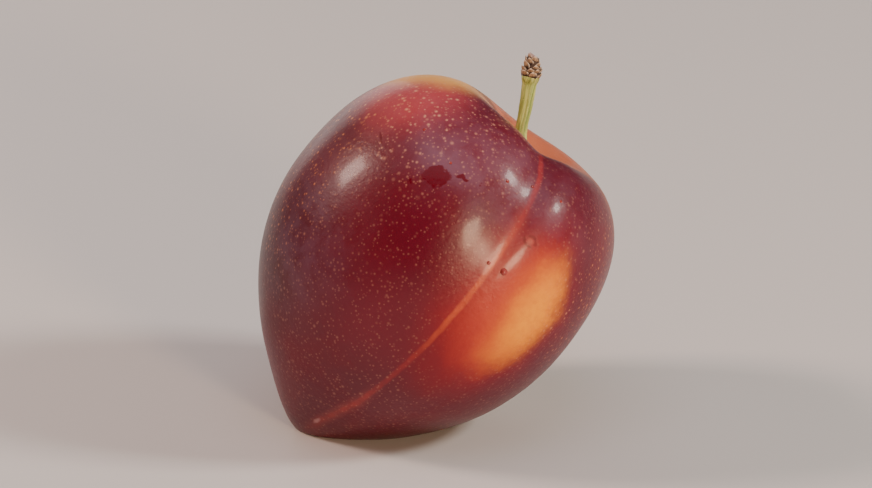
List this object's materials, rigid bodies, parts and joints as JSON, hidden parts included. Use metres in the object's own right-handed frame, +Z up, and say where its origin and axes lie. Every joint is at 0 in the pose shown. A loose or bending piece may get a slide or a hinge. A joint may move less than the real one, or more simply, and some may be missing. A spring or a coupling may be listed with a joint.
{
  "type": "cherry plum",
  "caption": "Heart-shaped stone fruit with a seam from its stalk hollow to its pointed tip, on a thin bent stalk that ends in dry bud scales, resting on a small flat spot.",
  "frame": {"origin": "on the flat resting spot, straight below the middle of the fruit's own axis", "axes": "+Z up from the surface that the fruit rests on, -Y towards the side with the seam, the tip points down and to -X, the stalk up and to +X"},
  "size_m": [0.0344, 0.0313, 0.0356],
  "materials": {
    "skin": "smooth waxy fruit skin, maroon with paler dots and a yellow-orange patch",
    "green_stalk": "young green-yellow stalk",
    "dry_scales": "dry brown bud scales with a pale corky end"
  },
  "bodies": {
    "root": {"fruit": "skin", "stem": "green_stalk", "bud_scales": "dry_scales"}
  },
  "joints": []
}
